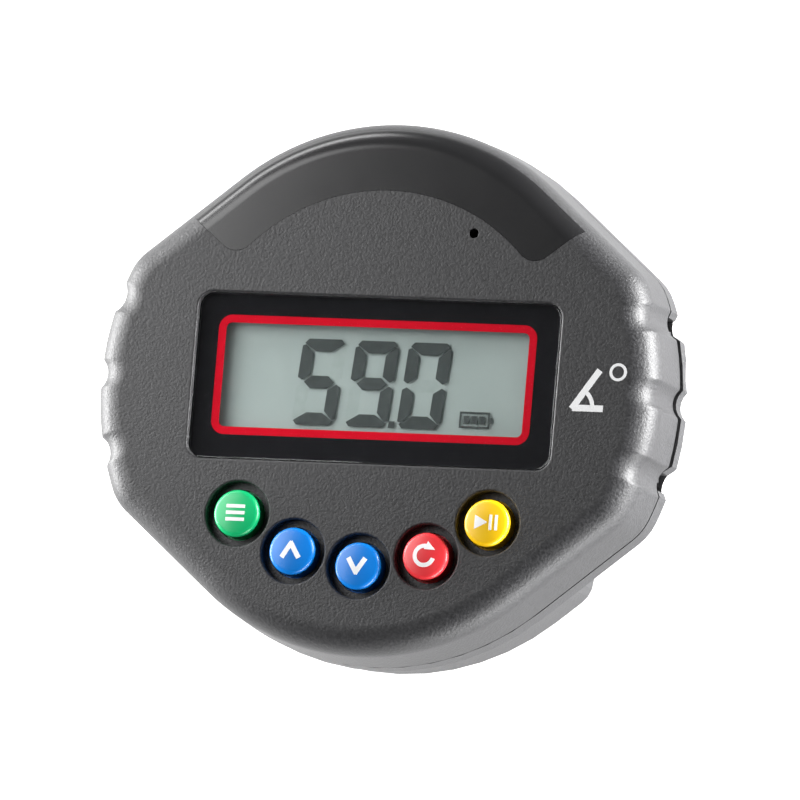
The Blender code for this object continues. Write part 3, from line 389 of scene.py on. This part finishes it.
def right_half():
    """Points of the right half from bottom to top: bottom arc, corner, scooped grip, corner, top arc. The
    corner's circle touches the grip's from inside, and the top arc's touches the corner's."""
    turn = math.radians(GRIP_END)
    corner = (HALF_WIDTH - CORNER_R) * np.array((math.cos(turn), math.sin(turn)))
    distance = CORNER_R + (HALF_WIDTH - CORNER_R) * math.cos(math.radians(SHOULDER_ANGLE - GRIP_END))
    crown_y = (distance - CROWN_R) / math.sin(math.radians(SHOULDER_ANGLE))
    grip = np.linspace(-GRIP_END, GRIP_END, 221)
    depths = scoop_depths(HALF_WIDTH * np.sin(np.radians(grip)))
    runs = [((0.0, -crown_y), CROWN_R, np.linspace(-90, -SHOULDER_ANGLE, 49), 0.0),
            ((corner[0], -corner[1]), CORNER_R, np.linspace(-SHOULDER_ANGLE, -GRIP_END, 13)[:-1], 0.0),
            ((0.0, 0.0), HALF_WIDTH, grip, depths),
            ((corner[0], corner[1]), CORNER_R, np.linspace(GRIP_END, SHOULDER_ANGLE, 13)[1:], 0.0),
            ((0.0, crown_y), CROWN_R, np.linspace(SHOULDER_ANGLE, 90, 49), 0.0)]
    rows = []
    for centre, radius, turns, dips in runs:
        turns = np.radians(turns)
        same = np.ones_like(turns)
        rows.append(np.column_stack((centre[0] * same, centre[1] * same, radius * same,
                                     np.cos(turns), np.sin(turns), dips * same)))
    return np.concatenate(rows)


HALF = right_half()
LEFT = HALF[1:-1][::-1] * np.array((-1, 1, 1, -1, 1, 1))
OUTLINE = np.concatenate((HALF, LEFT))


def case_outline(inset=0.0, scoops=1.0):
    """Case outline moved inward by an inset, with the scoops at a share of their depth."""
    reach = OUTLINE[:, 2] - inset - scoops * OUTLINE[:, 5]
    return OUTLINE[:, :2] + reach[:, None] * OUTLINE[:, 3:5]


def front_rings(inset, rim, scoops, low, top, steps):
    """Rings of the front cover: a drafted wall up to a quarter-round rim, where each ring moves in by the rim
    times one minus the cosine and up by its sine, and the scoops grow shallower."""
    rings = [at_height(case_outline(inset, scoops), low)]
    for turn in np.linspace(0, 90, steps):
        swing = math.radians(turn)
        outline = case_outline(inset + DRAFT + rim * (1 - math.cos(swing)), scoops * (1 - turn / 225))
        rings.append(at_height(outline, top - rim + rim * math.sin(swing)))
    return rings


def lens_outline(grow, outer):
    """Sector between an inner arc and an outer one about the case's centre, with its two inner corners round.
    A corner's circle lies outside the inner arc and touches it and the sector's straight end."""
    inner, corner_r = LENS_INNER_R - grow, LENS_CORNER_R
    start = math.radians(90 - LENS_HALF_ANGLE) - grow / inner
    lean = math.asin(corner_r / (inner + corner_r))
    middle = (inner + corner_r) * np.array((math.cos(start + lean), math.sin(start + lean)))
    swing = np.linspace(start + lean - np.pi, start - np.pi / 2, 24)
    corner = middle + corner_r * np.stack((np.cos(swing), np.sin(swing)), axis=-1)
    far = np.linspace(start, np.pi - start, 90)
    near = np.linspace(np.pi - start - lean, start + lean, 90)[1:-1]
    return np.concatenate((outer * np.stack((np.cos(far), np.sin(far)), axis=-1),
                           corner[::-1] * np.array((-1, 1)),
                           inner * np.stack((np.cos(near), np.sin(near)), axis=-1),
                           corner))


def window_outline(inset, size=WINDOW_SIZE, corner=WINDOW_CORNER_R, centre=(0.0, DISPLAY_Y)):
    """Rounded rectangle moved inward by an inset."""
    inner_size = (size[0] - 2 * inset, size[1] - 2 * inset)
    return rounded_rectangle(inner_size, max(corner - inset, 0.3 * MM), centre)


def flared(outline_at, low_steps, edge_r):
    """Cutter whose mouth at the face opens in a quarter round of radius edge_r."""
    rings = list(low_steps)
    for turn in np.linspace(0, 90, 7):
        swing = math.radians(turn)
        height = FACE_Z - edge_r + edge_r * math.sin(swing)
        rings.append((outline_at(-edge_r * (1 - math.cos(swing))), height))
    rings.append((outline_at(-edge_r), FACE_Z + MM))
    return stack(rings)


def well_cut(centre):
    """Cutter of a key well: a hole for the cap below the shelf, and the wider well above it."""
    def well(inset):
        return circle(WELL_R - inset, centre)
    hole = circle(CAP_R + CAP_GAP, centre)
    return flared(well, [(hole, WALL_Z - MM), (hole, WELL_SHELF), (well(0.0), WELL_SHELF)], WELL_EDGE_R)


def buzzer_mouth(inset):
    """Outline of the buzzer hole, moved inward by an inset."""
    return circle(BUZZER_HOLE_R - inset, BUZZER_AT, 48)


# Front cover: one closed shell with a small chamfer at the parting line, then its openings
outer_rings = front_rings(0.0, RIM_R, 1.0, PART_Z, FACE_Z, 19)
outer_rings[0] = at_height(case_outline(), PART_Z + PART_CHAMFER)
outer_rings.insert(0, at_height(case_outline(PART_CHAMFER), PART_Z))
hollow_rings = front_rings(SIDE_WALL, RIM_R - SIDE_WALL, 0.0, PART_Z, WALL_Z, 7)
front = piece("front_cover_skin", [loft(hollow_rings[::-1] + outer_rings)], ABS)
window_floor = WINDOW_TOP - WINDOW_THICK - 0.3 * MM
window_cut = flared(window_outline, [(window_outline(WINDOW_LEDGE), WALL_Z - MM),
                                     (window_outline(WINDOW_LEDGE), window_floor),
                                     (window_outline(0.0), window_floor)], WINDOW_EDGE_R)
well_cuts = [well_cut(key_centre(index)) for index in range(len(KEYS))]
lens_pocket = lens_outline(LENS_GAP, HALF_WIDTH + MM)
lens_cut = stack([(lens_pocket, LENS_SEAT), (lens_pocket, FACE_Z + MM)])
led_slot = lens_outline(-LED_SLOT_INSET, LED_SLOT_OUTER_R)
slot_cut = stack([(led_slot, WALL_Z - MM), (led_slot, LENS_SEAT + 0.2 * MM)])
buzzer_cut = flared(buzzer_mouth, [(buzzer_mouth(0.0), WALL_Z - MM)], 0.12 * MM)
carve(front, "DIFFERENCE", [window_cut, *well_cuts, lens_cut, slot_cut, buzzer_cut])
finish_piece(front, "case", ["front_cover"])

# Lens: the sector of the cover's own outside shape that the pocket leaves open
lens_sector = lens_outline(0.0, HALF_WIDTH + MM)
lens_block = stack([(lens_sector, FACE_Z - LENS_THICK), (lens_sector, FACE_Z + MM)])
lens = piece("alarm_lens_skin", [lens_block], SMOKED)
carve(lens, "INTERSECT", [loft(front_rings(0.0, RIM_R, 1.0, PART_Z, FACE_Z, 19))])
finish_piece(lens, "case", ["alarm_lens"])

# Window: clear plate with a small chamfer. It throws no shadow, because the acrylic lets the light through
plate = window_outline(0.2 * MM)
window = piece("window_plate", [stack([(plate, WINDOW_TOP - WINDOW_THICK), (plate, WINDOW_TOP - 0.1 * MM),
                                       (window_outline(0.3 * MM), WINDOW_TOP)])], ACRYLIC)
finish_piece(window, "case", ["display_window"])
window.visible_shadow = False


# Prints under the window: the black border and the red line along its inner edge

def print_ring(name, outer, inner, finish):
    """Thin flat ring under the window, between two outlines with equally many points."""
    low, high = PRINT_TOP - PRINT_DEPTH, PRINT_TOP
    rings = [at_height(outer, low), at_height(outer, high), at_height(inner, high), at_height(inner, low)]
    return finish_piece(piece(name, [hoop(rings)], finish), "case")


def red_outline(inset):
    """Outline of the red line, moved inward by an inset."""
    return window_outline(inset, RED_LINE_SIZE, RED_LINE_CORNER_R, RED_LINE_CENTRE)


PRINT_TOP = WINDOW_TOP - WINDOW_THICK - 0.02 * MM
PRINT_DEPTH = 0.08 * MM
print_ring("window_border_print", window_outline(0.25 * MM), red_outline(0.0), BLACK_INK)
print_ring("window_red_line", red_outline(0.0), red_outline(RED_LINE_WIDTH), RED_INK)

# Display segments: each digit has seven, set in a box that leans with the digit
DIGIT_SIZE = (6.6 * MM, 12.6 * MM)
DIGIT_PITCH = 8.0 * MM
DIGIT_AT = (-12.85 * MM, -5.6 * MM)
DIGIT_LEAN = 0.08
BAR = 1.85 * MM
SLIT = 0.28 * MM
LIT = ("acdfg", "abcdfg", "abcdef")
# The lit segments stand above the foil by the display's front glass, so that they throw a soft shadow on it;
# the glass itself is left out, because the window in front of it shows the same reflections
SEGMENT_Z = LCD_TOP + 0.22 * MM
SEGMENT_THICK = 0.02 * MM
# Battery sign at the display's lower right: the place of its lower left corner, then its bars as the distance
# right and up from there, width and height, in millimetres
BATTERY_AT = (12.6 * MM, -5.2 * MM)
BATTERY_BARS = ((0.0, 0.0, 4.6, 0.3), (0.0, 2.1, 4.6, 0.3), (0.0, 0.3, 0.3, 1.8), (4.3, 0.3, 0.3, 1.8),
                (4.6, 0.8, 0.4, 0.8), (0.6, 0.6, 0.9, 1.2), (1.8, 0.6, 0.9, 1.2), (3.0, 0.6, 0.9, 1.2))


def segment_shapes():
    """Outlines of segments a to g in a digit's own box: bars of width b with slanted ends, a slit s between
    neighbours, and the outer corners cut off."""
    wide, high = DIGIT_SIZE
    mid, s, b = high / 2, SLIT, BAR
    cut = 0.55 * b
    top = [(s, high - 0.35 * b), (0.45 * b, high), (wide - 0.45 * b, high), (wide - s, high - 0.35 * b),
           (wide - b - s, high - b), (b + s, high - b)]
    upper_right = [(wide, high - cut), (wide, mid + s + 0.2 * b), (wide - 0.35 * b, mid + s),
                   (wide - b, mid + s + 0.45 * b), (wide - b, high - b - s),
                   (wide - 0.3 * b, high - 0.3 * b - s)]
    middle = [(0.55 * b, mid), (b + 0.6 * s, mid + b / 2), (wide - b - 0.6 * s, mid + b / 2),
              (wide - 0.55 * b, mid), (wide - b - 0.6 * s, mid - b / 2), (b + 0.6 * s, mid - b / 2)]

    def mirrored(outline, across, down):
        """Outline mirrored about the digit's middle, from side to side or from top to bottom."""
        return [(wide - x if across else x, high - y if down else y) for x, y in outline]

    return {"a": top, "b": upper_right, "c": mirrored(upper_right, False, True),
            "d": mirrored(top, False, True), "e": mirrored(upper_right, True, True),
            "f": mirrored(upper_right, True, False), "g": middle}


def slab(outline, low, thick):
    """Closed plate of an outline."""
    return stack([(outline, low), (outline, low + thick)])


lit_parts, faint_parts = [], []
for place, lit in enumerate(LIT):
    for letter, outline in segment_shapes().items():
        points = np.array(outline)
        leaning = np.stack((DIGIT_AT[0] + place * DIGIT_PITCH + points[:, 0] + DIGIT_LEAN * points[:, 1],
                            DIGIT_AT[1] + points[:, 1]), axis=-1)
        if letter in lit:
            lit_parts.append(slab(leaning, SEGMENT_Z, SEGMENT_THICK))
        else:
            faint_parts.append(slab(leaning, LCD_TOP, SEGMENT_THICK / 2))
dot_centre = np.array((DIGIT_AT[0] + 2 * DIGIT_PITCH - 0.75 * MM, DIGIT_AT[1] + 0.5 * MM))
dot = dot_centre + MM * np.array([(-0.5, -0.5), (0.4, -0.5), (0.5, 0.5), (-0.4, 0.5)])
lit_parts.append(slab(dot, SEGMENT_Z, SEGMENT_THICK))
for left, low, wide, high in BATTERY_BARS:
    box = np.array([(left, low), (left + wide, low), (left + wide, low + high), (left, low + high)])
    lit_parts.append(slab(np.array(BATTERY_AT) + MM * box, SEGMENT_Z, SEGMENT_THICK))
finish_piece(piece("lcd_digits", lit_parts, LCD_DARK), "case")
finish_piece(piece("lcd_unlit_segments", faint_parts, LCD_FAINT), "case")


# Strokes: a line of points with a width, as a thin closed bar that lies on a surface

def stroke(path, width, surface_at, thick, closed=False):
    """Closed bar along a path. At each point its section reaches sideways by half the width there, with five
    points on top and five below, and follows the surface's height."""
    path = np.array(path)
    width = np.broadcast_to(np.array(width), (len(path),))
    if closed:
        ahead = np.roll(path, -1, axis=0) - np.roll(path, 1, axis=0)
    else:
        ahead = np.gradient(path, axis=0)
    side = np.stack((-ahead[:, 1], ahead[:, 0]), axis=-1)
    side /= np.linalg.norm(side, axis=1)[:, None]
    across = np.linspace(-0.5, 0.5, 5)
    top = path[:, None, :] + side[:, None, :] * (across[None, :, None] * width[:, None, None])
    section = np.concatenate((top, top[:, ::-1]), axis=1)
    heights = surface_at(section[..., 0], section[..., 1])
    heights[:, :5] += thick
    rings = list(np.concatenate((section, heights[..., None]), axis=-1))
    return hoop(rings) if closed else loft(rings)


def flat_face(x, y):
    """Height of the case's face."""
    return np.full(np.shape(x), FACE_Z)


def line(start, end, count=12):
    """Points on a straight line."""
    return np.linspace(start, end, count)


# Angle sign and degree ring beside the display. Strokes that cross have different heights
PRINT_THICK = 0.02 * MM
corner = np.array((30.2 * MM, -2.0 * MM))
sign = [stroke(line(corner + (4.6 * MM, 0.0), corner), 0.95 * MM, flat_face, PRINT_THICK),
        stroke(line(corner - (0.1 * MM, 0.15 * MM), corner + (3.7 * MM, 5.6 * MM)), 0.95 * MM, flat_face,
               1.2 * PRINT_THICK),
        stroke(arc(corner, 3.0 * MM, 2, 54), 0.6 * MM, flat_face, 1.4 * PRINT_THICK),
        stroke(circle(1.1 * MM, (36.65 * MM, 3.4 * MM), 48), 0.42 * MM, flat_face, PRINT_THICK, closed=True)]
finish_piece(piece("angle_sign_print", sign, WHITE_INK), "case")


# Key caps: a flange under the face, a straight side and a shallow dome with a round edge

def cap_profile():
    """(radius, height) pairs: stem, flange, side, an edge that is most of a quarter round, then a crown whose
    height falls with the square of the radius; and the pair at which the crown starts."""
    stem = [(1.8 * MM, 19.0 * MM), (1.8 * MM, 20.2 * MM), (FLANGE_R, 20.2 * MM), (FLANGE_R, 21.3 * MM),
            (CAP_R, 21.3 * MM)]
    swing = np.radians(np.linspace(0, 80, 12))
    side_top = CAP_TOP - CAP_CROWN - CAP_EDGE_R
    edge = np.stack((CAP_R - CAP_EDGE_R * (1 - np.cos(swing)), side_top + CAP_EDGE_R * np.sin(swing)),
                    axis=-1)
    share = np.linspace(0.92, 0.02, 12)
    crown = np.stack((edge[-1, 0] * share, CAP_TOP - (CAP_TOP - edge[-1, 1]) * share ** 2), axis=-1)
    return np.concatenate((stem, edge, crown)), edge[-1]


PROFILE, (crown_r, crown_low) = cap_profile()
SIGN_THICK = 0.03 * MM


def dome_at(centre):
    """Height function of a cap's crown about its centre, sunk a little to hide the sign's underside."""
    def height(x, y):
        share = np.hypot(x - centre[0], y - centre[1]) / crown_r
        return CAP_TOP - (CAP_TOP - crown_low) * share ** 2 - 0.01 * MM
    return height


def key_sign(key, centre, dome):
    """Strokes of a key's sign: bars, an arrow head up or down, an open ring, or a triangle and two bars.
    Where two strokes cross, the second is a little higher."""
    def at(points):
        return np.array(points) * SIGN_SCALE * MM + np.array(centre)
    if key == "menu":
        return [stroke(line(*at([(-1.25, y), (1.25, y)])), 0.5 * MM, dome, SIGN_THICK)
                for y in (-0.85, 0.0, 0.85)]
    if key in ("up", "down"):
        tip = 1.0 if key == "up" else -1.0
        left = line(*at([(-1.15, -tip * 0.95), (0.12, tip * 1.1)]), 16)
        right = line(*at([(1.15, -tip * 0.95), (-0.12, tip * 1.1)]), 16)
        return [stroke(left, 0.72 * MM, dome, SIGN_THICK), stroke(right, 0.72 * MM, dome, 1.07 * SIGN_THICK)]
    if key == "clear":
        ring = stroke(arc(centre, 1.25 * SIGN_SCALE * MM, 60, 345), 0.6 * MM, dome, SIGN_THICK)
        head = stroke(line(*at([(0.15, 1.35), (1.35, 0.8)]), 10), np.linspace(1.3 * MM, 0.1 * MM, 10), dome,
                      1.07 * SIGN_THICK)
        return [ring, head]
    play = stroke(line(*at([(-1.5, 0.0), (0.2, 0.0)]), 12), np.linspace(2.1 * MM, 0.1 * MM, 12), dome,
                  SIGN_THICK)
    bars = [stroke(line(*at([(x, -1.0), (x, 1.0)])), 0.42 * MM, dome, SIGN_THICK) for x in (0.65, 1.4)]
    return [play, *bars]


for index, key in enumerate(KEYS):
    centre = key_centre(index)
    cap = piece("cap_" + key, [turned(PROFILE, centre)], CAPS[key])
    finish_piece(cap, "key_" + key, ["button_" + key])
    sign = piece("sign_" + key, key_sign(key, centre, dome_at(centre)), WHITE_INK)
    finish_piece(sign, "key_" + key)


# Stage: a white floor, plain soft light and the photograph's camera

def white_where_seen(tree, in_gloss):
    """Socket that is 1 for camera rays, for rays that reach the background straight through glass and, if
    wanted, for gloss. Light that an inside surface sends out through the window again doesn't count, because
    the white background would light what lies under the window."""
    rays = add_node(tree, "ShaderNodeLightPath", {}).outputs
    bounces = add_node(tree, "ShaderNodeMath", {0: rays["Diffuse Depth"], 1: rays["Glossy Depth"]})
    through = add_node(tree, "ShaderNodeMath", {0: rays["Is Transmission Ray"], 1: bounces.outputs[0]},
                       operation="SUBTRACT", use_clamp=True)
    seen = add_node(tree, "ShaderNodeMath", {0: rays["Is Camera Ray"], 1: through.outputs[0]},
                    operation="MAXIMUM")
    if in_gloss:
        seen = add_node(tree, "ShaderNodeMath", {0: seen.outputs[0], 1: rays["Is Glossy Ray"]},
                        operation="MAXIMUM")
    return seen.outputs[0]


# The floor lies a little under the part, so that it and the pad don't flicker through each other
FLOOR_Z = -0.2 * MM
FLOOR_REACH = 3.0
floor_mesh = bpy.data.meshes.new("floor")
floor_corners = [(side_x * FLOOR_REACH, side_y * FLOOR_REACH, FLOOR_Z)
                 for side_x, side_y in ((-1, -1), (1, -1), (1, 1), (-1, 1))]
floor_mesh.from_pydata(floor_corners, [], [(0, 1, 2, 3)])
floor = bpy.data.objects.new("floor", floor_mesh)
bpy.context.scene.collection.objects.link(floor)
paper, tree, shader, place = new_material("paper_white_sweep")
shader.inputs["Base Color"].default_value = linear("#f4f4f4")
shader.inputs["Roughness"].default_value = 0.9
shader.inputs["Emission Color"].default_value = (1, 1, 1, 1)
tree.links.new(white_where_seen(tree, True), shader.inputs["Emission Strength"])
floor_mesh.materials.append(paper)

world = bpy.data.worlds.new("studio")
bpy.context.scene.world = world
world.use_nodes = True
tree = world.node_tree
background = tree.nodes["Background"]
background.inputs["Color"].default_value = (1, 1, 1, 1)
level = add_node(tree, "ShaderNodeMapRange",
                 {"Value": white_where_seen(tree, False), "To Min": 0.05, "To Max": 1.0})
tree.links.new(level.outputs["Result"], background.inputs["Strength"])


def softbox(name, place, aim, size, power):
    """Rectangular lamp at a place that faces an aim point."""
    lamp = bpy.data.lights.new(name, "AREA")
    lamp.shape = "RECTANGLE"
    lamp.size, lamp.size_y = size
    lamp.energy = power
    holder = bpy.data.objects.new(name, lamp)
    holder.location = place
    towards = np.array(aim) - np.array(place)
    yaw = math.atan2(towards[1], towards[0])
    pitch = math.acos(-towards[2] / np.linalg.norm(towards))
    holder.rotation_euler = (pitch, 0.0, yaw - math.pi / 2)
    bpy.context.scene.collection.objects.link(holder)


# The first three light the face from the left, the strips give the side walls and the rim their edges
softbox("key_left", (-0.21, 0.075, 0.125), (-0.01, 0.0, 0.02), (0.13, 0.12), 0.44)
softbox("overhead_left", (-0.124, 0.03, 0.178), (-0.02, 0.0, 0.02), (0.19, 0.08), 0.22)
softbox("low_upper_left", (-0.30, 0.29, 0.15), (0.0, 0.0, 0.02), (0.45, 0.07), 1.1)
softbox("left_strip", (-0.36, 0.01, 0.03), (0.0, 0.0, 0.02), (0.25, 0.05), 2.6)
softbox("right_strip", (0.32, 0.09, 0.028), (0.04, 0.0, 0.015), (0.30, 0.05), 5.2)
softbox("front_right_strip", (0.20, -0.26, 0.028), (0.02, 0.0, 0.015), (0.30, 0.05), 1.4)

# Camera: the axes of the photograph in the part's own axes, and the point at the picture's middle
PICTURE_RIGHT = np.array((0.95142621, 0.08356689, -0.29631864))
PICTURE_DOWN = np.array((0.03586894, -0.9859908, -0.16289738))
TOWARDS_CAMERA = np.array((0.30578029, -0.1443562, 0.94109495))
PICTURE_MIDDLE = np.array((3.65, -1.567, 22.354)) * MM
PIXEL = 0.1439 * MM
DISTANCE = 5.0
camera = bpy.data.cameras.new("camera")
camera.sensor_width = 36.0
camera.lens = camera.sensor_width * DISTANCE / (800 * PIXEL)
camera.clip_end = 20.0
eye = bpy.data.objects.new("camera", camera)
bpy.context.scene.collection.objects.link(eye)
place = PICTURE_MIDDLE + DISTANCE * TOWARDS_CAMERA
axes = np.column_stack((PICTURE_RIGHT, -PICTURE_DOWN, TOWARDS_CAMERA, place))
eye.matrix_world = [list(row) for row in np.vstack((axes, (0, 0, 0, 1))).T]
bpy.context.scene.camera = eye
bpy.context.scene.view_settings.view_transform = "Standard"
